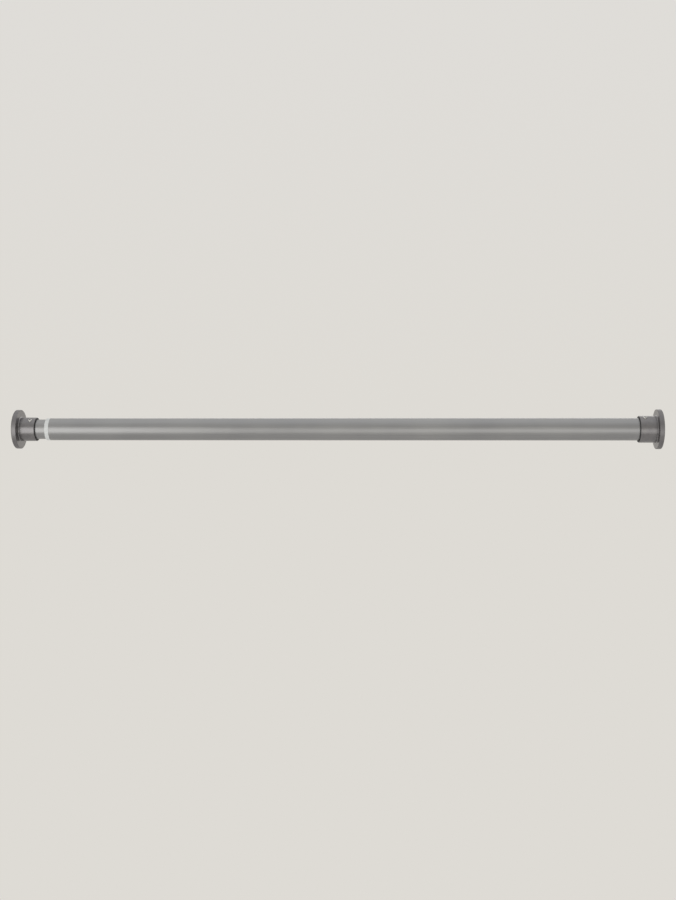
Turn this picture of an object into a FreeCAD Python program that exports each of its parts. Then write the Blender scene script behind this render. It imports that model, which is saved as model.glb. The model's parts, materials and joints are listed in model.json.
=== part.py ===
import FreeCAD, Part
import os
import Sketcher

# Spring tension rod: an inner tube telescopes in an outer tube, and each end carries a flange
# with a rubber pad that bears on a wall. X runs along the rod, +Z is up, and the origin is on
# the axis, midway between the two pad faces. Sizes are in millimetres, angles in degrees.
SIZES = {
    # whole rod at rest
    "rest_length": 738.3,
    "mouth_to_bush": 11.6,
    # tubes
    "outer_tube_od": 25.4,
    "outer_tube_wall": 0.7,
    "inner_tube_od": 22.6,
    "inner_tube_wall": 0.8,
    "inner_tube_length": 600.0,
    # white bush in the outer tube's mouth
    "bush_head_length": 4.7,
    "bush_spigot_length": 24.0,
    "bush_running_gap": 0.1,
    # end flanges
    "flange_od": 44.8,
    "flange_thickness": 5.4,
    "flange_back_round": 0.9,
    "flange_front_round": 0.4,
    "left_collar_length": 18.5,
    "right_collar_length": 19.4,
    "left_collar_od": 27.2,
    "right_collar_od": 30.4,
    "collar_foot_round": 1.0,
    "collar_lip_round": 0.5,
    "socket_floor_thickness": 2.2,
    "socket_gap": 0.05,
    # rubber pads
    "pad_od": 33.0,
    "pad_thickness": 3.0,
    "pad_proud": 1.0,
    "pad_edge_chamfer": 0.5,
    # rubber rings in the collar mouths
    "ring_lip": 0.5,
    "ring_seat_depth": 2.0,
    "ring_proud": 0.5,
    "ring_edge_chamfer": 0.25,
    # set screws
    "set_screw_diameter": 4.0,
    "set_screw_inset": 5.7,
    "set_screw_proud": 1.0,
    "set_screw_chamfer": 0.4,
    "set_screw_key": 2.0,
    "set_screw_key_depth": 1.6,
    "left_screw_tilt": 42.0,
    "right_screw_tilt": 32.0,
    # inner tube's end plug and the glide ring in its groove
    "end_plug_spigot_length": 18.0,
    "end_plug_head_length": 12.0,
    "glide_ring_width": 5.0,
    "glide_ring_wall": 1.8,
    "glide_ring_slit": 1.5,
    "glide_gap": 0.3,
    "glide_side_gap": 0.15,
    # plunger and spring
    "shaft_key": 7.0,
    "shaft_fit_gap": 0.06,
    "plug_fit_gap": 0.05,
    "plunger_head_length": 9.0,
    "plunger_gap": 0.3,
    "plunger_seat_gap": 0.05,
    "spring_nose_od": 13.2,
    "spring_nose_length": 4.0,
    "spring_travel": 8.5,
    "spring_rest_length": 76.0,
    "spring_od": 18.0,
    "spring_wire": 2.0,
    "spring_turns": 12.0,
    "spring_stop_length": 14.0,
    "spring_end_gap": 0.05,
    "clip_width": 0.9,
    "clip_od": 11.0,
    "clip_groove_od": 5.6,
    "clip_tail": 1.6,
    "clip_mouth": 4.5,
    # cross pins
    "pin_diameter": 3.0,
    "pin_sink": 0.25,
    "pin_gap": 0.02,
    "plug_pin_length": 4.5,
    # twist lock at the plunger's outer end
    "lock_spare_gap": 1.5,
    "eccentric_throw": 0.4,
    "eccentric_od": 16.0,
    "eccentric_flange_od": 20.0,
    "eccentric_flange_thickness": 2.0,
    "roller_od": 23.0,
    "roller_width": 14.0,
    "roller_bore_gap": 0.08,
    "roller_side_gap": 0.15,
    "lock_washer_od": 19.0,
    "lock_washer_thickness": 1.2,
    "lock_screw_diameter": 4.0,
    "lock_screw_length": 10.0,
    "lock_screw_head_od": 7.0,
    "lock_screw_head_height": 3.0,
    "lock_screw_key": 2.5,
    "lock_screw_key_depth": 1.6,
}

# share of a wall or face that a fillet on it may take
FILLET_SHARE = 0.8
# distance under which two places count as one
SAME_PLACE = 0.0001

doc = FreeCAD.newDocument("spring_tension_rod")
sheet = doc.addObject("Spreadsheet::Sheet", "dims")
for row, (alias, value) in enumerate(SIZES.items(), start=1):
    sheet.set(f"A{row}", alias)
    sheet.set(f"B{row}", str(value))
    sheet.setAlias(f"B{row}", alias)
doc.recompute()

sub_parts = []


def number(formula):
    """Value of a formula written in the sheet's aliases."""
    return float(sheet.evalExpression(formula))


def origin_plane(body, role):
    """One of a body's own origin planes or axes."""
    return next(feature for feature in body.Origin.OriginFeatures if feature.Role == role)


def new_body(label, place):
    """Empty body of a sub-part, placed along the rod by a formula."""
    body = doc.addObject("PartDesign::Body", label)
    body.Label = label
    body.setExpression("Placement.Base.x", place)
    sub_parts.append(body)
    return body


def new_sketch(body, name, role):
    """Sketch on one of the body's origin planes."""
    sketch = body.newObject("Sketcher::SketchObject", name)
    sketch.AttachmentSupport = [(origin_plane(body, role), "")]
    sketch.MapMode = "FlatFace"
    return sketch


def bind(sketch, constraint, formula):
    """Add a dimension to a sketch and tie it to the sheet."""
    index = sketch.addConstraint(constraint)
    sketch.setExpression(f"Constraints[{index}]", formula)


def add_outline(sketch, corners):
    """Closed outline through corners, each a pair of formulas measured from the sketch's origin."""
    points = [FreeCAD.Vector(number(across), number(up), 0) for across, up in corners]
    last = len(points) - 1
    for index, start in enumerate(points):
        end = points[0 if index == last else index + 1]
        sketch.addGeometry(Part.LineSegment(start, end), False)
    for index, (across, up) in enumerate(corners):
        following = 0 if index == last else index + 1
        sketch.addConstraint(Sketcher.Constraint("Coincident", index, 2, following, 1))
        for kind, formula, axis in (("DistanceX", across, -2), ("DistanceY", up, -1)):
            if formula == "0":
                sketch.addConstraint(Sketcher.Constraint("PointOnObject", index, 1, axis))
            else:
                bind(sketch, Sketcher.Constraint(kind, -1, 1, index, 1, number(formula)), formula)


def add_circle(sketch, across, up, radius):
    """Circle with its centre and radius tied to the sheet."""
    centre = FreeCAD.Vector(number(across), number(up), 0)
    circle = sketch.addGeometry(Part.Circle(centre, FreeCAD.Vector(0, 0, 1), number(radius)), False)
    for kind, formula, axis in (("DistanceX", across, -2), ("DistanceY", up, -1)):
        if formula == "0":
            sketch.addConstraint(Sketcher.Constraint("PointOnObject", circle, 3, axis))
        else:
            bind(sketch, Sketcher.Constraint(kind, -1, 1, circle, 3, number(formula)), formula)
    bind(sketch, Sketcher.Constraint("Radius", circle, number(radius)), radius)


def add_hexagon(sketch, across_flats):
    """Hexagon about the sketch's origin, two of its flats level."""
    half_flat = f"(({across_flats}) / 2)"
    half_side = f"(({across_flats}) / (2 * sqrt(3)))"
    corner = f"(({across_flats}) / sqrt(3))"
    add_outline(sketch, [
        (corner, "0"), (half_side, half_flat), (f"-{half_side}", half_flat),
        (f"-{corner}", "0"), (f"-{half_side}", f"-{half_flat}"), (half_side, f"-{half_flat}"),
    ])


def turn(body, corners, name="turned", about="H_Axis"):
    """Turn an outline about the rod's axis, or about the body's own Z with V_Axis."""
    sketch = new_sketch(body, f"{body.Name}_{name}_outline", "XZ_Plane")
    add_outline(sketch, corners)
    feature = body.newObject("PartDesign::Revolution", f"{body.Name}_{name}")
    feature.Profile = sketch
    feature.ReferenceAxis = (sketch, [about])
    feature.Angle = 360.0
    doc.recompute()
    return feature


def cut(body, sketch, depth, name, both_ways=False):
    """Pocket that has to take material away, in whichever direction holds it."""
    before = body.Shape.Volume
    pocket = body.newObject("PartDesign::Pocket", f"{body.Name}_{name}")
    pocket.Profile = sketch
    pocket.setExpression("Length", depth)
    pocket.Midplane = both_ways
    doc.recompute()
    if not both_ways and (pocket.State != ["Up-to-date"] or pocket.Shape.Volume >= before):
        pocket.Reversed = True
        doc.recompute()
    if pocket.Shape.Volume >= before:
        raise RuntimeError(f"{body.Label}: {name} cuts nothing")
    return pocket


def cut_upward(body, sketch, depth, name):
    """Pocket from the rod's axis plane towards the body's own +Z."""
    pocket = cut(body, sketch, depth, name)
    pocket.Reversed = True
    doc.recompute()
    return pocket


def rim_edges(feature, rims):
    """Names of the circular edges that lie at the given places along X and radii."""
    names = []
    for index, edge in enumerate(feature.Shape.Edges, start=1):
        if not isinstance(edge.Curve, Part.Circle):
            continue
        for along, radius in rims:
            near = abs(edge.Curve.Center.x - number(along)) < SAME_PLACE
            if near and abs(edge.Curve.Radius - number(radius)) < SAME_PLACE:
                names.append(f"Edge{index}")
    return names


def round_rims(body, base, rims, radius, name):
    """Round the rims of a turned piece."""
    fillet = body.newObject("PartDesign::Fillet", f"{body.Name}_{name}")
    fillet.Base = (base, rim_edges(base, rims))
    fillet.setExpression("Radius", radius)
    doc.recompute()
    return fillet


# places along the rod
HALF_LENGTH = "(dims.rest_length / 2)"
FLANGE_BACK = f"({HALF_LENGTH} - dims.pad_proud)"
PAD_RECESS = "(dims.pad_thickness - dims.pad_proud)"
SOCKET_FLOOR = f"({PAD_RECESS} + dims.socket_floor_thickness)"
LEFT_REACH = "(dims.flange_thickness + dims.left_collar_length)"
RIGHT_REACH = "(dims.flange_thickness + dims.right_collar_length)"
TUBE_END = f"({FLANGE_BACK} - {SOCKET_FLOOR})"
LEFT_MOUTH = f"({LEFT_REACH} - {FLANGE_BACK})"
BUSH_START = f"({LEFT_MOUTH} + dims.mouth_to_bush)"
OUTER_TUBE_START = f"({BUSH_START} + dims.bush_head_length)"
INNER_TUBE_END = f"(dims.inner_tube_length - {TUBE_END})"

# radii of the tubes
OUTER_RADIUS = "(dims.outer_tube_od / 2)"
OUTER_BORE = f"({OUTER_RADIUS} - dims.outer_tube_wall)"
INNER_RADIUS = "(dims.inner_tube_od / 2)"
INNER_BORE = f"({INNER_RADIUS} - dims.inner_tube_wall)"
PLUG_RADIUS = f"({INNER_BORE} - dims.plug_fit_gap)"

# places of the mechanism, measured from the inner tube's end
PLUNGER_SEAT = "(0 - dims.end_plug_spigot_length - dims.plunger_seat_gap)"
PLUNGER_BACK = f"({PLUNGER_SEAT} - dims.plunger_head_length)"
SPRING_START = f"({PLUNGER_BACK} - dims.spring_end_gap - dims.spring_rest_length)"
STOP_FACE = f"({SPRING_START} - dims.spring_end_gap)"
LOCK_START = "(dims.end_plug_head_length + dims.spring_travel + dims.lock_spare_gap)"
ROLLER_START = f"({LOCK_START} + dims.eccentric_flange_thickness + dims.roller_side_gap)"
LOCK_END = f"({ROLLER_START} + dims.roller_width + dims.roller_side_gap)"
NOSE_RADIUS = "(dims.spring_nose_od / 2)"
PIN_RADIUS = "(dims.pin_diameter / 2)"
PIN_HOLE_RADIUS = f"({PIN_RADIUS} + dims.pin_gap)"
STOP_PIN_PLACE = f"({STOP_FACE} - dims.spring_stop_length / 2)"
PLUG_PIN_PLACE = "(0 - dims.end_plug_spigot_length / 2)"
PIN_TOP = f"({INNER_RADIUS} - dims.pin_sink)"

# the two ends: the tube each flange holds, its collar's radius, how far it reaches from its back,
# its screw's tilt towards the front
ENDS = {
    "left": {"tube": INNER_RADIUS, "collar": "(dims.left_collar_od / 2)", "reach": LEFT_REACH,
             "tilt": number("dims.left_screw_tilt"), "back": f"(0 - {FLANGE_BACK})", "turned": 0},
    "right": {"tube": OUTER_RADIUS, "collar": "(dims.right_collar_od / 2)", "reach": RIGHT_REACH,
              "tilt": -number("dims.right_screw_tilt"), "back": FLANGE_BACK, "turned": 180},
}


def face_end(body, end):
    """Turn an end piece so that it points to the rod's middle, with its screw to the front."""
    half_turn = FreeCAD.Rotation(FreeCAD.Vector(0, 0, 1), end["turned"])
    body.Placement.Rotation = half_turn * FreeCAD.Rotation(FreeCAD.Vector(1, 0, 0), end["tilt"])


def ring_seat_radius(end):
    """Radius of the counterbore that holds a mouth ring, inside the collar's lip."""
    return f"({end['collar']} - dims.ring_lip)"


def screw_from_back(end):
    """Place of a set screw's axis, measured from the flange's back."""
    return f"({end['reach']} - dims.set_screw_inset)"


def make_flange(side):
    """Flange and collar in one casting: pad recess behind, tube socket in front."""
    end = ENDS[side]
    body = new_body(f"{side}_flange", end["back"])
    rim = "(dims.flange_od / 2)"
    pad_seat = "(dims.pad_od / 2 + dims.socket_gap)"
    socket = f"({end['tube']} + dims.socket_gap)"
    ring_seat = ring_seat_radius(end)
    ring_floor = f"({end['reach']} - dims.ring_seat_depth)"
    solid = turn(body, [
        (PAD_RECESS, "0"), (PAD_RECESS, pad_seat), ("0", pad_seat), ("0", rim),
        ("dims.flange_thickness", rim), ("dims.flange_thickness", end["collar"]),
        (end["reach"], end["collar"]), (end["reach"], ring_seat), (ring_floor, ring_seat),
        (ring_floor, socket), (SOCKET_FLOOR, socket), (SOCKET_FLOOR, "0"),
    ])
    solid = round_rims(body, solid, [("0", rim)], "dims.flange_back_round", "back_round")
    front_edge = [("dims.flange_thickness", rim)]
    solid = round_rims(body, solid, front_edge, "dims.flange_front_round", "front_round")
    foot = [("dims.flange_thickness", end["collar"])]
    face_width = f"({rim} - dims.flange_front_round - {end['collar']})"
    foot_round = f"min(dims.collar_foot_round; {FILLET_SHARE} * {face_width})"
    solid = round_rims(body, solid, foot, foot_round, "foot_round")
    lip = [(end["reach"], end["collar"])]
    lip_round = f"min(dims.collar_lip_round; {FILLET_SHARE} * dims.ring_lip)"
    round_rims(body, solid, lip, lip_round, "lip_round")
    hole = new_sketch(body, f"{side}_screw_hole", "XY_Plane")
    add_circle(hole, screw_from_back(end), "0", "(dims.set_screw_diameter / 2 + dims.socket_gap)")
    cut_upward(body, hole, end["collar"], "screw_pocket")
    face_end(body, end)


def make_pad(side):
    """Rubber pad in the flange's back, standing proud of it to grip the wall."""
    end = ENDS[side]
    body = new_body(f"{side}_pad", end["back"])
    rim = "(dims.pad_od / 2)"
    wall_face = "(0 - dims.pad_proud)"
    turn(body, [
        (PAD_RECESS, "0"), (PAD_RECESS, rim), (f"({wall_face} + dims.pad_edge_chamfer)", rim),
        (wall_face, f"({rim} - dims.pad_edge_chamfer)"), (wall_face, "0"),
    ])
    face_end(body, end)


def make_mouth_ring(side):
    """Black rubber ring that closes the gap between collar and tube."""
    end = ENDS[side]
    body = new_body(f"{side}_mouth_ring", end["back"])
    outside = f"({ring_seat_radius(end)} - dims.socket_gap)"
    inside = f"({end['tube']} + dims.socket_gap)"
    floor = f"({end['reach']} - dims.ring_seat_depth)"
    face = f"({end['reach']} + dims.ring_proud)"
    turn(body, [
        (floor, inside), (floor, outside), (f"({face} - dims.ring_edge_chamfer)", outside),
        (face, f"({outside} - dims.ring_edge_chamfer)"), (face, inside),
    ])
    face_end(body, end)


def make_set_screw(side):
    """Socket set screw in the collar, its flat tip on the tube."""
    end = ENDS[side]
    place = f"({end['back']} {'-' if end['turned'] else '+'} {screw_from_back(end)})"
    body = new_body(f"{side}_set_screw", place)
    radius = "(dims.set_screw_diameter / 2)"
    small = f"({radius} - dims.set_screw_chamfer)"
    tip = end["tube"]
    top = f"({end['collar']} + dims.set_screw_proud)"
    turn(body, [
        ("0", tip), (small, tip), (radius, f"({tip} + dims.set_screw_chamfer)"),
        (radius, f"({top} - dims.set_screw_chamfer)"), (small, top), ("0", top),
    ], about="V_Axis")
    key = new_sketch(body, f"{side}_screw_key", "XY_Plane")
    key.setExpression("AttachmentOffset.Base.z", top)
    add_hexagon(key, "dims.set_screw_key")
    cut(body, key, "dims.set_screw_key_depth", "key_pocket")
    face_end(body, end)


def make_tubes():
    """The two telescoping tubes, the inner one drilled for its pins."""
    outer = new_body("outer_tube", OUTER_TUBE_START)
    outer_length = f"({TUBE_END} - {OUTER_TUBE_START})"
    turn(outer, [
        ("0", OUTER_BORE), ("0", OUTER_RADIUS), (outer_length, OUTER_RADIUS), (outer_length, OUTER_BORE),
    ])
    inner = new_body("inner_tube", INNER_TUBE_END)
    start = "(0 - dims.inner_tube_length)"
    turn(inner, [(start, INNER_BORE), (start, INNER_RADIUS), ("0", INNER_RADIUS), ("0", INNER_BORE)])
    holes = new_sketch(inner, "inner_tube_pin_holes", "XY_Plane")
    add_circle(holes, STOP_PIN_PLACE, "0", PIN_HOLE_RADIUS)
    add_circle(holes, PLUG_PIN_PLACE, "0", PIN_HOLE_RADIUS)
    cut(inner, holes, "dims.inner_tube_od", "pin_pocket", both_ways=True)


def make_end_bush():
    """White bush: its head caps the outer tube, its spigot guides the inner tube."""
    body = new_body("end_bush", OUTER_TUBE_START)
    bore = f"({INNER_RADIUS} + dims.bush_running_gap)"
    spigot = f"({OUTER_BORE} - dims.plug_fit_gap)"
    head = "(0 - dims.bush_head_length)"
    solid = turn(body, [
        (head, bore), (head, OUTER_RADIUS), ("0", OUTER_RADIUS), ("0", spigot),
        ("dims.bush_spigot_length", spigot), ("dims.bush_spigot_length", bore),
    ])
    round_rims(body, solid, [(head, OUTER_RADIUS)], "dims.collar_lip_round", "head_round")


def make_end_plug():
    """Plug in the inner tube's end: hex bore for the shaft, groove for the glide ring."""
    body = new_body("end_plug", INNER_TUBE_END)
    groove_floor = f"({OUTER_BORE} - dims.glide_gap - dims.glide_ring_wall - dims.glide_gap)"
    middle = "(dims.end_plug_head_length / 2)"
    half_groove = "(dims.glide_ring_width / 2 + dims.glide_side_gap)"
    spigot = "(0 - dims.end_plug_spigot_length)"
    head = "dims.end_plug_head_length"
    turn(body, [
        (spigot, "0"), (spigot, PLUG_RADIUS), ("0", PLUG_RADIUS), ("0", INNER_RADIUS),
        (f"({middle} - {half_groove})", INNER_RADIUS), (f"({middle} - {half_groove})", groove_floor),
        (f"({middle} + {half_groove})", groove_floor), (f"({middle} + {half_groove})", INNER_RADIUS),
        (head, INNER_RADIUS), (head, "0"),
    ])
    bore = new_sketch(body, "end_plug_bore", "YZ_Plane")
    add_hexagon(bore, "(dims.shaft_key + 2 * dims.shaft_fit_gap)")
    cut(body, bore, "2 * (dims.end_plug_spigot_length + dims.end_plug_head_length)", "bore_cut", True)
    pins = new_sketch(body, "end_plug_pin_holes", "XY_Plane")
    pins.setExpression("AttachmentOffset.Base.z", f"({PIN_TOP} - dims.plug_pin_length)")
    add_circle(pins, PLUG_PIN_PLACE, "0", PIN_HOLE_RADIUS)
    upper = cut_upward(body, pins, "dims.inner_tube_od", "pin_pocket")
    both = body.newObject("PartDesign::PolarPattern", "end_plug_pin_pair")
    both.Originals = [upper]
    both.Axis = (origin_plane(body, "X_Axis"), [""])
    both.Angle = 360
    both.Occurrences = 2
    body.Tip = both


def make_plug_pins():
    """Two short pins that hold the end plug in the inner tube."""
    body = doc.addObject("Part::Compound", "end_plug_pins")
    body.Label = "end_plug_pins"
    pins = []
    for name, turned in (("upper", 0), ("lower", 180)):
        pin = doc.addObject("Part::Cylinder", f"{name}_plug_pin")
        pin.setExpression("Radius", PIN_RADIUS)
        pin.setExpression("Height", "dims.plug_pin_length")
        pin.setExpression("Placement.Base.x", f"{INNER_TUBE_END} + {PLUG_PIN_PLACE}")
        inner_end = f"({PIN_TOP} - dims.plug_pin_length)"
        pin.setExpression("Placement.Base.z", f"0 - {inner_end}" if turned else inner_end)
        pin.Placement.Rotation = FreeCAD.Rotation(FreeCAD.Vector(1, 0, 0), turned)
        pins.append(pin)
    body.Links = pins
    sub_parts.append(body)


def make_glide_ring():
    """Split ring in the end plug's groove, which centres the inner tube in the outer one."""
    middle = "(dims.end_plug_head_length / 2)"
    body = new_body("glide_ring", f"{INNER_TUBE_END} + {middle}")
    half = "(dims.glide_ring_width / 2)"
    outside = f"({OUTER_BORE} - dims.glide_gap)"
    inside = f"({outside} - dims.glide_ring_wall)"
    turn(body, [
        (f"(0 - {half})", inside), (f"(0 - {half})", outside), (half, outside), (half, inside),
    ])
    slit = new_sketch(body, "glide_ring_slit", "XZ_Plane")
    add_outline(slit, [
        ("(0 - dims.glide_ring_width)", "0"), ("(0 - dims.glide_ring_width)", OUTER_RADIUS),
        ("dims.glide_ring_width", OUTER_RADIUS), ("dims.glide_ring_width", "0"),
    ])
    cut(body, slit, "dims.glide_ring_slit", "slit_cut", both_ways=True)


def make_spring_stop():
    """Plug pinned in the inner tube, on which the spring stands."""
    body = new_body("spring_stop", f"{INNER_TUBE_END} + {STOP_FACE}")
    back = "(0 - dims.spring_stop_length)"
    turn(body, [
        (back, "0"), (back, PLUG_RADIUS), ("0", PLUG_RADIUS), ("0", NOSE_RADIUS),
        ("dims.spring_nose_length", NOSE_RADIUS), ("dims.spring_nose_length", "0"),
    ])
    hole = new_sketch(body, "spring_stop_pin_hole", "XY_Plane")
    add_circle(hole, "(0 - dims.spring_stop_length / 2)", "0", PIN_HOLE_RADIUS)
    cut(body, hole, "dims.inner_tube_od", "pin_pocket", both_ways=True)
    pin = doc.addObject("Part::Cylinder", "spring_stop_pin")
    pin.Label = "spring_stop_pin"
    pin.setExpression("Radius", PIN_RADIUS)
    pin.setExpression("Height", f"2 * {PIN_TOP}")
    pin.setExpression("Placement.Base.x", f"{INNER_TUBE_END} + {STOP_PIN_PLACE}")
    pin.setExpression("Placement.Base.z", f"0 - {PIN_TOP}")
    sub_parts.append(pin)


def make_spring():
    """Compression spring between the stop and the plunger head."""
    body = new_body("compression_spring", f"{INNER_TUBE_END} + {SPRING_START}")
    wire = new_sketch(body, "spring_wire_section", "XZ_Plane")
    coil_radius = "((dims.spring_od - dims.spring_wire) / 2)"
    add_circle(wire, "(dims.spring_wire / 2)", coil_radius, "(dims.spring_wire / 2)")
    coil = body.newObject("PartDesign::AdditiveHelix", "spring_coil")
    coil.Profile = wire
    coil.ReferenceAxis = (wire, ["H_Axis"])
    coil.Mode = "height-turns-angle"
    coil.setExpression("Height", "dims.spring_rest_length - dims.spring_wire")
    coil.setExpression("Turns", "dims.spring_turns")


def make_plunger():
    """Hex shaft, the head that the spring pushes and the clip that holds the head."""
    shaft_back = f"({PLUNGER_BACK} - dims.clip_width - dims.clip_tail)"
    shaft = new_body("plunger_shaft", f"{INNER_TUBE_END} + {shaft_back}")
    section = new_sketch(shaft, "plunger_shaft_section", "YZ_Plane")
    add_hexagon(section, "dims.shaft_key")
    bar = shaft.newObject("PartDesign::Pad", "plunger_shaft_bar")
    bar.Profile = section
    bar.setExpression("Length", f"{LOCK_END} - {shaft_back}")
    doc.recompute()
    groove_sketch = new_sketch(shaft, "plunger_clip_groove", "XZ_Plane")
    add_outline(groove_sketch, [
        ("dims.clip_tail", "(dims.clip_groove_od / 2)"), ("dims.clip_tail", "dims.shaft_key"),
        ("(dims.clip_tail + dims.clip_width)", "dims.shaft_key"),
        ("(dims.clip_tail + dims.clip_width)", "(dims.clip_groove_od / 2)"),
    ])
    groove = shaft.newObject("PartDesign::Groove", "plunger_clip_groove_cut")
    groove.Profile = groove_sketch
    groove.ReferenceAxis = (groove_sketch, ["H_Axis"])
    groove.Angle = 360.0
    doc.recompute()
    thread = new_sketch(shaft, "plunger_shaft_tapping", "YZ_Plane")
    thread.setExpression("AttachmentOffset.Base.z", f"{LOCK_END} - {shaft_back}")
    add_circle(thread, "0", "0", "(dims.lock_screw_diameter / 2 + dims.pin_gap)")
    cut(shaft, thread, "dims.lock_screw_length", "tapped_hole")

    head = new_body("plunger_head", f"{INNER_TUBE_END} + {PLUNGER_BACK}")
    radius = f"({INNER_BORE} - dims.plunger_gap)"
    nose = "(0 - dims.spring_nose_length)"
    clip_room = "(dims.clip_od / 2 + dims.plunger_gap)"
    turn(head, [
        ("0", "0"), ("0", clip_room), (nose, clip_room), (nose, NOSE_RADIUS), ("0", NOSE_RADIUS),
        ("0", radius), ("dims.plunger_head_length", radius), ("dims.plunger_head_length", "0"),
    ])
    bore = new_sketch(head, "plunger_head_bore", "YZ_Plane")
    add_hexagon(bore, "(dims.shaft_key + 2 * dims.plug_fit_gap)")
    cut(head, bore, "2 * (dims.plunger_head_length + dims.spring_nose_length)", "bore_cut", both_ways=True)

    clip = new_body("plunger_clip", f"{INNER_TUBE_END} + {PLUNGER_BACK}")
    inside = "(dims.clip_groove_od / 2 + dims.pin_gap)"
    face = "(0 - dims.clip_width + dims.pin_gap)"
    outside = "(dims.clip_od / 2)"
    back = "(0 - dims.pin_gap)"
    turn(clip, [(face, inside), (face, outside), (back, outside), (back, inside)])
    mouth = new_sketch(clip, "plunger_clip_mouth", "XZ_Plane")
    add_outline(mouth, [
        ("(0 - 2 * dims.clip_width)", "0"), ("(0 - 2 * dims.clip_width)", "dims.clip_od"),
        ("dims.clip_width", "dims.clip_od"), ("dims.clip_width", "0"),
    ])
    cut(clip, mouth, "dims.clip_mouth", "mouth_cut", both_ways=True)


def make_lock():
    """Twist lock: a roller on an eccentric journal, held by a washer and a screw."""
    eccentric = new_body("lock_eccentric", f"{INNER_TUBE_END} + {LOCK_START}")
    section = new_sketch(eccentric, "eccentric_flange_section", "YZ_Plane")
    add_circle(section, "0", "0", "(dims.eccentric_flange_od / 2)")
    flange = eccentric.newObject("PartDesign::Pad", "eccentric_flange")
    flange.Profile = section
    flange.setExpression("Length", "dims.eccentric_flange_thickness")
    journal_section = new_sketch(eccentric, "eccentric_journal_section", "YZ_Plane")
    add_circle(journal_section, "0", "dims.eccentric_throw", "(dims.eccentric_od / 2)")
    journal = eccentric.newObject("PartDesign::Pad", "eccentric_journal")
    journal.Profile = journal_section
    journal.setExpression("Length", f"{LOCK_END} - {LOCK_START}")
    doc.recompute()
    bore = new_sketch(eccentric, "eccentric_bore", "YZ_Plane")
    add_hexagon(bore, "(dims.shaft_key + 2 * dims.plug_fit_gap)")
    cut(eccentric, bore, f"2 * {LOCK_END}", "bore_cut", both_ways=True)

    roller = new_body("lock_roller", f"{INNER_TUBE_END} + {ROLLER_START}")
    ring = new_sketch(roller, "roller_section", "YZ_Plane")
    add_circle(ring, "0", "0", "(dims.roller_od / 2)")
    add_circle(ring, "0", "dims.eccentric_throw", "(dims.eccentric_od / 2 + dims.roller_bore_gap)")
    wheel = roller.newObject("PartDesign::Pad", "roller_wheel")
    wheel.Profile = ring
    wheel.setExpression("Length", "dims.roller_width")

    washer = new_body("lock_washer", f"{INNER_TUBE_END} + {LOCK_END}")
    hole = "(dims.lock_screw_diameter / 2 + dims.plug_fit_gap)"
    rim = "(dims.lock_washer_od / 2)"
    thickness = "dims.lock_washer_thickness"
    turn(washer, [("0", hole), ("0", rim), (thickness, rim), (thickness, hole)])

    screw = new_body("lock_screw", f"{INNER_TUBE_END} + {LOCK_END} + {thickness}")
    shank = "(dims.lock_screw_diameter / 2)"
    head = "(dims.lock_screw_head_od / 2)"
    height = "dims.lock_screw_head_height"
    tip = f"({thickness} - dims.lock_screw_length)"
    turn(screw, [(tip, "0"), (tip, shank), ("0", shank), ("0", head), (height, head), (height, "0")])
    key = new_sketch(screw, "lock_screw_key", "YZ_Plane")
    key.setExpression("AttachmentOffset.Base.z", height)
    add_hexagon(key, "dims.lock_screw_key")
    cut(screw, key, "dims.lock_screw_key_depth", "key_pocket")


make_tubes()
make_end_bush()
for side in ENDS:
    make_flange(side)
    make_pad(side)
    make_mouth_ring(side)
    make_set_screw(side)
make_end_plug()
make_plug_pins()
make_glide_ring()
make_spring_stop()
make_spring()
make_plunger()
make_lock()
doc.recompute()

for item in doc.Objects:
    if "Invalid" in item.State or "Error" in item.State:
        raise RuntimeError(f"{item.Label} did not build: {item.State}")
for piece in sub_parts:
    if piece.Shape.isNull() or not piece.Shape.isValid():
        raise RuntimeError(f"{piece.Label} has no valid shape")

os.makedirs("parts", exist_ok=True)
for piece in sub_parts:
    piece.Shape.exportStep(f"parts/{piece.Label}.step")
    box = piece.Shape.BoundBox
    print(f"{piece.Label}: {piece.Shape.Volume:.1f} mm3, x {box.XMin:.2f} to {box.XMax:.2f}")
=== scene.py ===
import json
import math

import bmesh
import bpy
from mathutils import Matrix, Vector


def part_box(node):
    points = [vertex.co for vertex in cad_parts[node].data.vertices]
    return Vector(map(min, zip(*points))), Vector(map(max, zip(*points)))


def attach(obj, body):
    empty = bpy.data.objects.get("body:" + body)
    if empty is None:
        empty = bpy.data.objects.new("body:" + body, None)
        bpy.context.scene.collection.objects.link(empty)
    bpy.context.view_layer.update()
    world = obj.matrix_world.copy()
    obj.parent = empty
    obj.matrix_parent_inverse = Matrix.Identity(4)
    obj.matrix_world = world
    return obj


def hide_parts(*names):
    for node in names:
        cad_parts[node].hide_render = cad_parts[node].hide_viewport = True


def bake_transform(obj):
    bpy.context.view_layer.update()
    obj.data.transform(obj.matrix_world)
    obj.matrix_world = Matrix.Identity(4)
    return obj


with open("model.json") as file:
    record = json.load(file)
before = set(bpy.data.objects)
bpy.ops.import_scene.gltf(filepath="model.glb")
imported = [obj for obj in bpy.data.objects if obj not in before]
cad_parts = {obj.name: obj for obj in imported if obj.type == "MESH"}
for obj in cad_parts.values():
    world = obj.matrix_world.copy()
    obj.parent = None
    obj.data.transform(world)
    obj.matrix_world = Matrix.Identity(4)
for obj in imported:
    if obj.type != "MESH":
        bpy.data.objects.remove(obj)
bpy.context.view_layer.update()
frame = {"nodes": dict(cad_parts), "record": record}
mm = 0.001
print("frame loaded:", len(frame["nodes"]), "nodes")


# small helpers for meshes
meshLook = {
    "turnSteps": 128,           # faces round a turned piece
    "roundSteps": 6,            # faces over a rounded edge
    "holeSides": 64,
    "sharpAngle": 35,           # degrees, a steeper edge stays crisp
    "weldGap": 0.001 * mm,      # points that are closer become one
}


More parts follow.
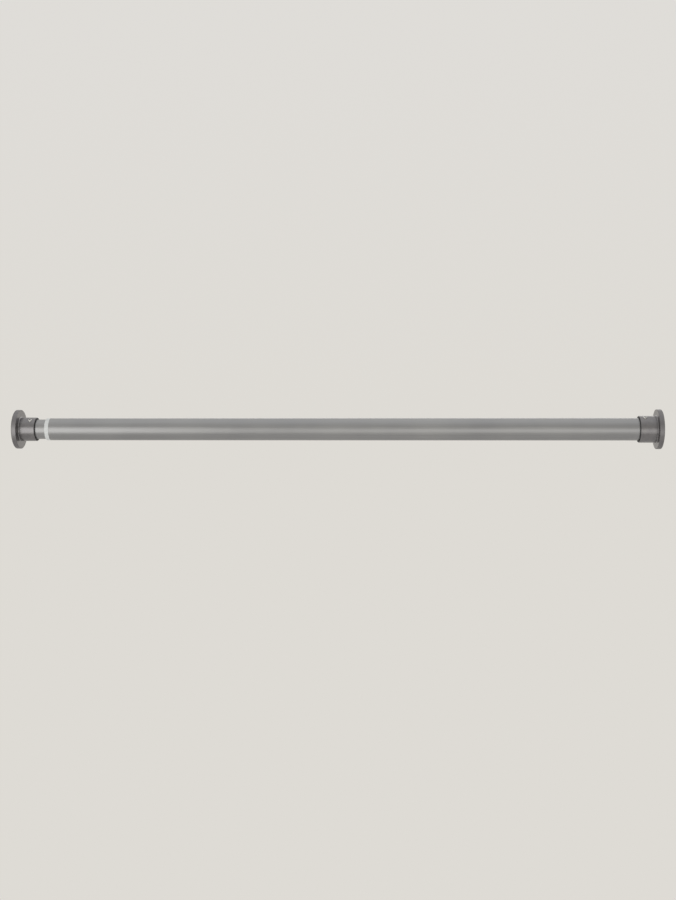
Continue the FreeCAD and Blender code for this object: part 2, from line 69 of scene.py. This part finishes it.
def nodeSpan(node):
    # both ends along the rod, and the radius
    low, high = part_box(node)
    return low[0], high[0], (high[2] - low[2]) / 2


def lathe(profile, rounds=(), steps=meshLook["turnSteps"], axis=(1, 0, 0)):
    # profile: corners as (along, radius); rounds: corner number -> radius
    bm = bmesh.new()
    along = Vector(axis)
    side = Vector((0, 0, 1)) if along.x else Vector((1, 0, 0))
    corners = [bm.verts.new(along * place + side * radius) for place, radius in profile]
    ring = corners + corners[:1] if profile[0][1] > 0 else corners
    for start, end in zip(ring, ring[1:]):
        bm.edges.new((start, end))
    for number, radius in dict(rounds).items():
        bmesh.ops.bevel(bm, geom=[corners[number]], offset=radius, offset_type="OFFSET",
                        segments=meshLook["roundSteps"], profile=0.5, affect="VERTICES", material=-1)
    bmesh.ops.spin(bm, geom=bm.verts[:] + bm.edges[:], cent=(0, 0, 0), axis=along,
                   dvec=(0, 0, 0), angle=2 * math.pi, steps=steps, use_merge=True)
    bmesh.ops.remove_doubles(bm, verts=bm.verts, dist=meshLook["weldGap"])
    bmesh.ops.recalc_face_normals(bm, faces=bm.faces)
    return bm


def meshObject(name, bm):
    mesh = bpy.data.meshes.new(name)
    bm.to_mesh(mesh)
    bm.free()
    piece = bpy.data.objects.new(name, mesh)
    bpy.context.collection.objects.link(piece)
    return piece


def smoothShade(piece):
    piece.data.shade_smooth()
    piece.data.set_sharp_from_angle(angle=math.radians(meshLook["sharpAngle"]))
    weighted = piece.modifiers.new("weighted", "WEIGHTED_NORMAL")
    weighted.keep_sharp = True


def finishPiece(piece, body, node):
    # material and slot come from the CAD node that the piece stands for
    piece.data.materials.append(finishes[slotOf[node]])
    smoothShade(piece)
    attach(piece, body)
    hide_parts(node)


def drill(piece, radius, start, end, sides=meshLook["holeSides"]):
    # hole from one point to another, round or with a few sides
    way = end - start
    bm = bmesh.new()
    turned = way.to_track_quat("Z", "Y").to_matrix().to_4x4()
    bmesh.ops.create_cone(bm, cap_ends=True, segments=sides, radius1=radius, radius2=radius,
                          depth=way.length, matrix=Matrix.Translation((start + end) / 2) @ turned)
    cutter = meshObject("drill", bm)
    hole = piece.modifiers.new("hole", "BOOLEAN")
    hole.object = cutter
    hole.solver = "EXACT"
    drilled = piece.evaluated_get(bpy.context.evaluated_depsgraph_get())
    mesh = bpy.data.meshes.new_from_object(drilled)
    piece.modifiers.clear()
    piece.data = mesh
    bpy.data.objects.remove(cutter)


# small helpers for materials

def linear(hexColour):
    # the sRGB standard's own curve, with full alpha behind it
    channels = [int(hexColour[i:i + 2], 16) / 255 for i in (1, 3, 5)]
    return tuple(c / 12.92 if c <= 0.04045 else ((c + 0.055) / 1.055) ** 2.4 for c in channels) + (1.0,)


def fillSockets(tree, node, sockets):
    for key, value in sockets.items():
        if isinstance(value, bpy.types.NodeSocket):
            tree.links.new(value, node.inputs[key])
        else:
            node.inputs[key].default_value = value


def addNode(tree, kind, sockets, stops=(), **settings):
    # stops: a colour ramp's (position, colour) pairs, first to last
    node = tree.nodes.new(kind)
    for key, value in settings.items():
        setattr(node, key, value)
    fillSockets(tree, node, sockets)
    if stops:
        ramp = node.color_ramp.elements
        ramp[0].position, ramp[1].position = stops[0][0], stops[-1][0]
        for position, _ in stops[1:-1]:
            ramp.new(position)
        for stop, (_, colour) in zip(ramp, stops):
            stop.color = linear(colour)
    return node


def newMaterial(name):
    material = bpy.data.materials.new(name)
    material.use_nodes = True
    tree = material.node_tree
    place = addNode(tree, "ShaderNodeTexCoord", {}).outputs["Object"]
    return material, tree, tree.nodes["Principled BSDF"], place


bumpHeight = 0.1 * mm       # of a bump at full strength

# drawn steel tube, plated satin pewter: long faint lines along the tube and a soft broad sheen
tubePewter = {
    "tones": ("#9a9a9b", "#a4a4a4", "#adadac"),
    "roughness": (0.36, 0.46),
    "lineWidth": 0.9,       # mm, coarser than real polishing lines so that it shows
    "lineLength": 160.0,    # mm
    "cloud": 70.0,          # mm, slow change in the plating
    "bump": 0.05,
}

# zinc casting, polished round and plated to match: a shade darker, faint turning rings, and a duller rim
flangePewter = {
    "tones": ("#7f7d7f", "#888687", "#92908f"),
    "roughness": (0.26, 0.36),
    "lineWidth": 60.0,      # mm, round the collar
    "lineLength": 0.5,      # mm, pitch of the rings, coarser than a lathe's feed so that it shows
    "cloud": 5.0,           # mm, mottle of the casting
    "bump": 0.06,
    "rimStart": 21.2,       # mm from the axis, where the polish ends
    "rimFull": 22.0,        # mm from the axis, where the tumbled rim is at its dullest
    "rimDull": 0.16,        # roughness that the rim has over the collar
}

# how both pewters mix their lines and clouds
pewterPattern = {
    "lineDetail": 5.0, "lineRoughness": 0.65, "cloudDetail": 3.0,
    "cloudShare": 0.5,
    "toneStops": (0.32, 0.5, 0.68),     # pattern values that get the three tones
    "roughStops": (0.35, 0.65),         # pattern values that get the smoothest and the roughest
}


def satinPewter(name, look):
    pattern = pewterPattern
    material, tree, shader, place = newMaterial(name)
    across, along = 1 / (look["lineWidth"] * mm), 1 / (look["lineLength"] * mm)
    stretched = addNode(tree, "ShaderNodeMapping", {"Vector": place, "Scale": (along, across, across)})
    lines = addNode(tree, "ShaderNodeTexNoise", {"Vector": stretched.outputs["Vector"], "Scale": 1.0,
                                                 "Detail": pattern["lineDetail"],
                                                 "Roughness": pattern["lineRoughness"]})
    cloud = addNode(tree, "ShaderNodeTexNoise", {"Vector": place, "Scale": 1 / (look["cloud"] * mm),
                                                 "Detail": pattern["cloudDetail"]})
    both = addNode(tree, "ShaderNodeMix", {"Factor": pattern["cloudShare"], "A": lines.outputs["Fac"],
                                           "B": cloud.outputs["Fac"]})
    tone = addNode(tree, "ShaderNodeValToRGB", {"Fac": both.outputs["Result"]},
                   stops=list(zip(pattern["toneStops"], look["tones"])))
    rough = addNode(tree, "ShaderNodeMapRange", {"Value": both.outputs["Result"],
                                                 "From Min": pattern["roughStops"][0],
                                                 "From Max": pattern["roughStops"][1],
                                                 "To Min": look["roughness"][0],
                                                 "To Max": look["roughness"][1]}).outputs["Result"]
    if "rimDull" in look:
        section = addNode(tree, "ShaderNodeVectorMath", {0: place, 1: (0, 1, 1)}, operation="MULTIPLY")
        radius = addNode(tree, "ShaderNodeVectorMath", {0: section.outputs["Vector"]}, operation="LENGTH")
        dull = addNode(tree, "ShaderNodeMapRange", {"Value": radius.outputs["Value"],
                                                    "From Min": look["rimStart"] * mm,
                                                    "From Max": look["rimFull"] * mm,
                                                    "To Max": look["rimDull"]})
        rough = addNode(tree, "ShaderNodeMath", {0: rough, 1: dull.outputs["Result"]}).outputs["Value"]
    bump = addNode(tree, "ShaderNodeBump", {"Height": lines.outputs["Fac"], "Strength": look["bump"],
                                            "Distance": bumpHeight})
    fillSockets(tree, shader, {"Base Color": tone.outputs["Color"], "Metallic": 1.0,
                               "Roughness": rough, "Normal": bump.outputs["Normal"]})
    return material


# finishes with one even grain, given in mm and drawn coarser than the real one so that it shows
plainFinishes = {
    # moulded nylon: cool white with a soft sheen
    "white_nylon": {"name": "whiteMouldedNylon", "tones": ("#d5d8d8", "#e4e7e7"), "grain": 1.6,
                    "bump": 0.04, "sockets": {"Roughness": 0.42, "IOR": 1.53}},
    # moulded black rubber: dull, with a dusty bloom
    "black_rubber": {"name": "blackMouldedRubber", "tones": ("#1b1b1c", "#2a2a2b"), "grain": 0.7,
                     "bump": 0.12, "sockets": {"Roughness": 0.62, "IOR": 1.52}},
    # nickel-plated screw steel: bright, with hard small highlights
    "bright_screw_steel": {"name": "nickelPlatedScrewSteel", "tones": ("#dad9d5", "#e8e7e3"), "grain": 0.4,
                           "bump": 0.03, "sockets": {"Roughness": 0.2, "Metallic": 1.0}},
    # inside of the screw's key hole, where little plating lands: dark and dull, the dark tone partly
    # painted shade for the deep recess
    "key_hole": {"name": "keyHoleSteelPaintedShade", "tones": ("#5f5d5b", "#6f6d6a"), "grain": 0.3,
                 "bump": 0.05, "sockets": {"Roughness": 0.5, "Metallic": 1.0}},
    # natural moulded nylon: off-white and matt
    "mechanism_nylon": {"name": "naturalMouldedNylon", "tones": ("#c9c5b6", "#d6d2c5"), "grain": 2.0,
                        "bump": 0.05, "sockets": {"Roughness": 0.5, "IOR": 1.53, "Subsurface Weight": 0.1,
                                                  "Subsurface Scale": 2 * mm}},
    # drawn bar steel, zinc plated: dull blue-grey
    "mechanism_steel": {"name": "zincPlatedBarSteel", "tones": ("#a6a8aa", "#b8babb"), "grain": 0.8,
                        "bump": 0.05, "sockets": {"Roughness": 0.36, "Metallic": 1.0}},
    # hard-drawn spring wire: dark, with an oil film
    "spring_steel": {"name": "oiledSpringWire", "tones": ("#6d6b68", "#86837f"), "grain": 0.6,
                     "bump": 0.05, "sockets": {"Roughness": 0.33, "Metallic": 1.0}},
}
grainPattern = {"detail": 4.0, "roughness": 0.6, "toneStops": (0.32, 0.68)}


def grainedFinish(look):
    pattern = grainPattern
    material, tree, shader, place = newMaterial(look["name"])
    grain = addNode(tree, "ShaderNodeTexNoise", {"Vector": place, "Scale": 1 / (look["grain"] * mm),
                                                 "Detail": pattern["detail"],
                                                 "Roughness": pattern["roughness"]})
    tone = addNode(tree, "ShaderNodeValToRGB", {"Fac": grain.outputs["Fac"]},
                   stops=list(zip(pattern["toneStops"], look["tones"])))
    bump = addNode(tree, "ShaderNodeBump", {"Height": grain.outputs["Fac"], "Strength": look["bump"],
                                            "Distance": bumpHeight})
    fillSockets(tree, shader, {"Base Color": tone.outputs["Color"], "Normal": bump.outputs["Normal"]})
    fillSockets(tree, shader, look["sockets"])
    return material


finishes = {slot: grainedFinish(look) for slot, look in plainFinishes.items()}
finishes["satin_pewter_tube"] = satinPewter("satinPewterDrawnTube", tubePewter)
finishes["satin_pewter_flange"] = satinPewter("satinPewterCastFlange", flangePewter)
slotOf = {part["node"]: part["material_slot"] for part in frame["record"]["subparts"]}
for node, obj in frame["nodes"].items():
    obj.data.materials.clear()
    obj.data.materials.append(finishes[slotOf[node]])
print("materials:", len(finishes))


# tubes with softly broken ends; the inner one has holes for the pins of its plugs
tubes = {
    "outer_tube": {"name": "outerTube", "body": "outer", "wall": 0.7 * mm,
                   "round": 0.25 * mm, "steps": 160},
    "inner_tube": {"name": "innerTube", "body": "inner", "wall": 0.8 * mm,
                   "round": 0.25 * mm, "steps": 160,
                   "pins": ("end_plug_pins", "spring_stop_pin"), "pinGap": 0.02 * mm},
}
for node, look in tubes.items():
    start, end, radius = nodeSpan(node)
    bore = radius - look["wall"]
    corners = [(start, bore), (start, radius), (end, radius), (end, bore)]
    rounds = {corner: look["round"] for corner in range(len(corners))}
    piece = meshObject(look["name"], lathe(corners, rounds, steps=look["steps"]))
    for pin in look.get("pins", ()):
        pinStart, pinEnd, _ = nodeSpan(pin)
        middle = (pinStart + pinEnd) / 2
        drill(piece, (pinEnd - pinStart) / 2 + look["pinGap"], Vector((middle, 0, -2 * radius)),
              Vector((middle, 0, 2 * radius)))
    finishPiece(piece, look["body"], node)
print("tubes made")


# white bush: head level with the outer tube, spigot inside it
bushLook = {
    "headRound": 0.5 * mm, "mouthRound": 0.35 * mm, "spigotRound": 0.2 * mm,
    "tubeGap": 0.05 * mm, "spigotWall": 0.55 * mm,
}


def makeBush():
    look = bushLook
    start, end, radius = nodeSpan("end_bush")
    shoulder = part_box("outer_tube")[0][0]
    spigot = radius - tubes["outer_tube"]["wall"] - look["tubeGap"]
    bore = spigot - look["spigotWall"]
    corners = [(start, bore), (start, radius), (shoulder, radius), (shoulder, spigot),
               (end, spigot), (end, bore)]
    rounds = {0: look["mouthRound"], 1: look["headRound"], 4: look["spigotRound"]}
    finishPiece(meshObject("endBush", lathe(corners, rounds)), "outer", "end_bush")


makeBush()
print("bush made")


# both ends: flange casting, wall pad, mouth ring and set screw; a flange's lengths count from its back
endLook = {
    "flangeThickness": 5.4 * mm, "socketFloor": 4.2 * mm, "flangeSteps": 192,
    "backRound": 0.9 * mm, "frontRound": 0.4 * mm, "footRound": 1.0 * mm, "lipRound": 0.4 * mm,
    "padSeat": 2.0 * mm, "ringSeat": 2.0 * mm,
    "seatGap": 0.05 * mm,       # round the tube, the pad and the mouth ring
    "padChamfer": 0.5 * mm, "padRound": 0.2 * mm, "ringRound": 0.25 * mm,
    "holeGap": 0.05 * mm,       # round the screw
    "holeMargin": 0.8 * mm,     # even band of the collar on both sides of the screw's hole
    "holeOverrun": 1.0 * mm,    # how far a drill goes past the surface
    "screwTop": 1.0 * mm,       # above the collar
    "screwChamfer": 0.2 * mm, "screwCrown": 0.45 * mm, "screwRound": 0.3 * mm, "screwSteps": 48,
    "screwKey": 2.0 * mm,       # across the flats
    "screwKeyDepth": 1.6 * mm, "screwKeySides": 6,
    "screwKeyEdge": 0.01 * mm,  # faces this near the top belong to the crown
    "left": {"body": "inner", "tube": "inner_tube", "towards": 1, "collar": 13.6 * mm, "tilt": 42},
    "right": {"body": "outer", "tube": "outer_tube", "towards": -1, "collar": 15.2 * mm, "tilt": 32},
}


def makeFlange(side):
    look, end = endLook, endLook[side]
    low, high, rim = nodeSpan(side + "_flange")
    back = low if end["towards"] > 0 else high
    reach = high - low
    tube = nodeSpan(end["tube"])[2] + look["seatGap"]
    pad = nodeSpan(side + "_pad")[2] + look["seatGap"]
    ring = nodeSpan(side + "_mouth_ring")[2] + look["seatGap"]
    screwLow, screwHigh, _ = nodeSpan(side + "_set_screw")
    hole = abs((screwLow + screwHigh) / 2 - back)
    holeRadius = (screwHigh - screwLow) / 2 + look["holeGap"]
    around = holeRadius + look["holeMargin"]
    corners = [
        (look["padSeat"], 0), (look["padSeat"], pad), (0, pad), (0, rim), (look["flangeThickness"], rim),
        (look["flangeThickness"], end["collar"]), (hole - around, end["collar"]),
        (hole + around, end["collar"]), (reach, end["collar"]), (reach, ring),
        (reach - look["ringSeat"], ring), (reach - look["ringSeat"], tube),
        (hole + around, tube), (hole - around, tube),
        (look["socketFloor"], tube), (look["socketFloor"], 0),
    ]
    rounds = {3: look["backRound"], 4: look["frontRound"], 5: look["footRound"], 8: look["lipRound"]}
    placed = [(back + end["towards"] * along, radius) for along, radius in corners]
    piece = meshObject(side + "Flange", lathe(placed, rounds, steps=look["flangeSteps"]))
    tilt = math.radians(end["tilt"])
    way = Vector((0, -math.sin(tilt), math.cos(tilt)))
    middle = Vector((back + end["towards"] * hole, 0, 0))
    drill(piece, holeRadius, middle + way * (tube - look["holeOverrun"]),
          middle + way * (end["collar"] + look["holeOverrun"]))
    finishPiece(piece, end["body"], side + "_flange")


def makePad(side):
    look, end = endLook, endLook[side]
    low, high, rim = nodeSpan(side + "_pad")
    inside, wallFace = (high, low) if end["towards"] > 0 else (low, high)
    edge = wallFace + end["towards"] * look["padChamfer"]
    corners = [(inside, 0), (inside, rim), (edge, rim), (wallFace, rim - look["padChamfer"]), (wallFace, 0)]
    bm = lathe(corners, {2: look["padRound"], 3: look["padRound"]})
    finishPiece(meshObject(side + "Pad", bm), end["body"], side + "_pad")


# black ring flush in the collar's mouth: the dark line there is partly its own black and partly the shade
# of the gap, painted into the ring
def makeMouthRing(side):
    look, end = endLook, endLook[side]
    low, high, outside = nodeSpan(side + "_mouth_ring")
    inside = nodeSpan(end["tube"])[2] + look["seatGap"]
    seat, face = (low, high) if end["towards"] > 0 else (high, low)
    corners = [(seat, inside), (seat, outside), (face, outside), (face, inside)]
    bm = lathe(corners, {2: look["ringRound"], 3: look["ringRound"]})
    finishPiece(meshObject(side + "MouthRing", bm), end["body"], side + "_mouth_ring")


def makeSetScrew(side):
    look, end = endLook, endLook[side]
    low, high, _ = nodeSpan(side + "_set_screw")
    radius = (high - low) / 2
    small, crown = radius - look["screwChamfer"], radius - look["screwCrown"]
    tip = nodeSpan(end["tube"])[2]
    top = end["collar"] + look["screwTop"]
    corners = [(tip, 0), (tip, small), (tip + look["screwChamfer"], radius),
               (top - look["screwCrown"], radius), (top, crown), (top, 0)]
    turned = lathe(corners, {3: look["screwRound"]}, steps=look["screwSteps"], axis=(0, 0, 1))
    piece = meshObject(side + "SetScrew", turned)
    keyFloor = top - look["screwKeyDepth"]
    keyRadius = look["screwKey"] / 2 / math.cos(math.pi / look["screwKeySides"])    # to the corners
    drill(piece, keyRadius, Vector((0, 0, keyFloor)), Vector((0, 0, top + look["holeOverrun"])),
          sides=look["screwKeySides"])
    # faces inside the key hole take the dark key hole finish: partly thin plating, partly painted shade
    for face in piece.data.polygons:
        near = face.center.xy.length < keyRadius
        deep = keyFloor - look["screwKeyEdge"] < face.center.z < top - look["screwKeyEdge"]
        face.material_index = 1 if near and deep else 0     # 1 is the key hole's
    tilted = Matrix.Rotation(math.radians(end["tilt"]), 4, "X")
    piece.data.transform(Matrix.Translation(((low + high) / 2, 0, 0)) @ tilted)
    finishPiece(piece, end["body"], side + "_set_screw")
    piece.data.materials.append(finishes["key_hole"])


for side in ("left", "right"):
    makeFlange(side)
    makePad(side)
    makeMouthRing(side)
    makeSetScrew(side)
print("ends made")


# spring: wound from the inner tube's stop to the plunger's head
springLook = {
    "wire": 2.0 * mm, "turns": 12, "stepsPerTurn": 40, "sides": 14,
    "nose": 4.0 * mm,       # length of the stop and of the plunger's head that goes into the spring
}


def makeSpring():
    look = springLook
    outside = nodeSpan("compression_spring")[2]
    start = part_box("spring_stop")[1][0] - look["nose"]
    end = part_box("plunger_head")[0][0] + look["nose"]
    coil = outside - look["wire"] / 2
    rise = (end - start - look["wire"]) / look["turns"] / look["stepsPerTurn"]
    bm = bmesh.new()
    turned = Matrix.Translation((start + look["wire"] / 2, 0, coil)) @ Matrix.Rotation(math.pi / 2, 4, "X")
    wire = bmesh.ops.create_circle(bm, segments=look["sides"], radius=look["wire"] / 2, matrix=turned)
    bmesh.ops.spin(bm, geom=wire["verts"] + bm.edges[:], cent=(0, 0, 0), axis=(1, 0, 0), dvec=(rise, 0, 0),
                   angle=2 * math.pi * look["turns"], steps=look["turns"] * look["stepsPerTurn"])
    bmesh.ops.holes_fill(bm, edges=[edge for edge in bm.edges if edge.is_boundary])
    bmesh.ops.recalc_face_normals(bm, faces=bm.faces)
    piece = meshObject("compressionSpring", bm)
    piece.data.materials.append(finishes[slotOf["compression_spring"]])
    smoothShade(piece)
    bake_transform(piece)
    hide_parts("compression_spring")


makeSpring()
print("spring made")


# camera on the rod's own height, a little right of its middle and aimed a little below it
cameraLook = {
    "at": Vector((73.6, -1340.8, 0)) * mm,
    "aim": Vector((4.2, 0, -23.7)) * mm,
    "focal": 1175.5,            # pixels
    "imageHeight": 900,         # pixels, the longer side
    "sensor": 36.0,             # mm, along the longer side
}


def placeCamera():
    look = cameraLook
    camera = bpy.data.objects.new("camera", bpy.data.cameras.new("camera"))
    bpy.context.collection.objects.link(camera)
    camera.data.sensor_width = look["sensor"]
    camera.data.lens = look["sensor"] * look["focal"] / look["imageHeight"]
    camera.location = look["at"]
    camera.rotation_euler = (look["aim"] - look["at"]).to_track_quat("-Z", "Y").to_euler()
    bpy.context.scene.camera = camera


# studio: pale paper floor as far below as under a hung curtain rod, pale air all round,
# two soft lamps in front and one behind; in metres and watts
studio = {
    "floorDrop": 2.1, "floorReach": 3.5, "floorSides": 96,
    "floorFade": (1.6, 3.4),            # where the floor fades into the air
    "floorTones": ("#dfdedd", "#e5e4e3"), "floorStops": (0.3, 0.7), "floorRoughness": 0.9,
    "fibre": 4.0, "fibreDetail": 2.0,   # mm, coarser than real paper so that it shows
    "airUp": ((0.0, "#dedbd5"), (0.6, "#e0dedb"), (1.0, "#f2f2f2")),     # from level to straight up
    "airFront": ((0.0, "#ffffff"), (0.9, "#e4e4e4")),                    # from beside to before the rod
    "airSide": ((0.35, "#ffffff"), (0.95, "#dedede")),                   # from ahead to along the rod
    "key": {"at": (-0.9, -1.0, -0.24), "facing": (-0.9, 0, -0.24), "size": (1.0, 1.05), "power": 4.1},
    "fill": {"at": (0.95, -1.8, -0.53), "facing": (0.95, 0, -0.53), "size": (2.3, 1.25), "power": 5.9},
    "back": {"at": (0.3, 2.0, 0.9), "facing": (0, 0, 0), "size": (2.6, 0.8), "power": 6},
}


def makeFloor():
    look = studio
    bm = bmesh.new()
    bmesh.ops.create_circle(bm, cap_ends=True, segments=look["floorSides"], radius=look["floorReach"],
                            matrix=Matrix.Translation((0, 0, -look["floorDrop"])))
    floor = meshObject("paperFloor", bm)
    material, tree, shader, place = newMaterial("palePaperFloor")
    fibre = addNode(tree, "ShaderNodeTexNoise", {"Vector": place, "Scale": 1 / (look["fibre"] * mm),
                                                 "Detail": look["fibreDetail"]})
    tone = addNode(tree, "ShaderNodeValToRGB", {"Fac": fibre.outputs["Fac"]},
                   stops=list(zip(look["floorStops"], look["floorTones"])))
    flat = addNode(tree, "ShaderNodeVectorMath", {0: place, 1: (1, 1, 0)}, operation="MULTIPLY")
    away = addNode(tree, "ShaderNodeVectorMath", {0: flat.outputs["Vector"]}, operation="LENGTH")
    fadeStart, fadeEnd = look["floorFade"]
    fade = addNode(tree, "ShaderNodeMapRange", {"Value": away.outputs["Value"], "From Min": fadeStart,
                                                "From Max": fadeEnd, "To Min": 1.0, "To Max": 0.0},
                   interpolation_type="SMOOTHSTEP")
    fillSockets(tree, shader, {"Base Color": tone.outputs["Color"], "Roughness": look["floorRoughness"],
                               "Alpha": fade.outputs["Result"]})
    floor.data.materials.append(material)


def areaLight(name, look):
    lamp = bpy.data.lights.new(name, "AREA")
    lamp.shape = "RECTANGLE"
    lamp.size, lamp.size_y = look["size"]
    lamp.energy = look["power"]
    light = bpy.data.objects.new(name, lamp)
    light.location = look["at"]
    way = Vector(look["facing"]) - Vector(look["at"])
    light.rotation_euler = way.to_track_quat("-Z", "Y").to_euler()
    light.visible_camera = False
    bpy.context.collection.objects.link(light)


def makeAir():
    # brightest overhead, dimmer in front and along the rod
    world = bpy.data.worlds.new("studioAir")
    world.use_nodes = True
    tree = world.node_tree
    way = addNode(tree, "ShaderNodeTexCoord", {}).outputs["Generated"]
    parts = addNode(tree, "ShaderNodeSeparateXYZ", {"Vector": way})
    forward = addNode(tree, "ShaderNodeMath", {0: parts.outputs["Y"], 1: -1.0}, operation="MULTIPLY")
    sideways = addNode(tree, "ShaderNodeMath", {0: parts.outputs["X"]}, operation="ABSOLUTE")
    air = addNode(tree, "ShaderNodeValToRGB", {"Fac": parts.outputs["Z"]},
                  stops=studio["airUp"]).outputs["Color"]
    for share, stops in ((forward, studio["airFront"]), (sideways, studio["airSide"])):
        dim = addNode(tree, "ShaderNodeValToRGB", {"Fac": share.outputs["Value"]}, stops=stops)
        air = addNode(tree, "ShaderNodeVectorMath", {0: air, 1: dim.outputs["Color"]},
                      operation="MULTIPLY").outputs["Vector"]
    fillSockets(tree, tree.nodes["Background"], {"Color": air, "Strength": 1.0})
    bpy.context.scene.world = world


def makeStudio():
    makeFloor()
    makeAir()
    for lamp in ("key", "fill", "back"):
        areaLight(lamp + "Softbox", studio[lamp])
    bpy.context.scene.view_settings.view_transform = "Standard"


placeCamera()
makeStudio()
print("camera and studio placed")
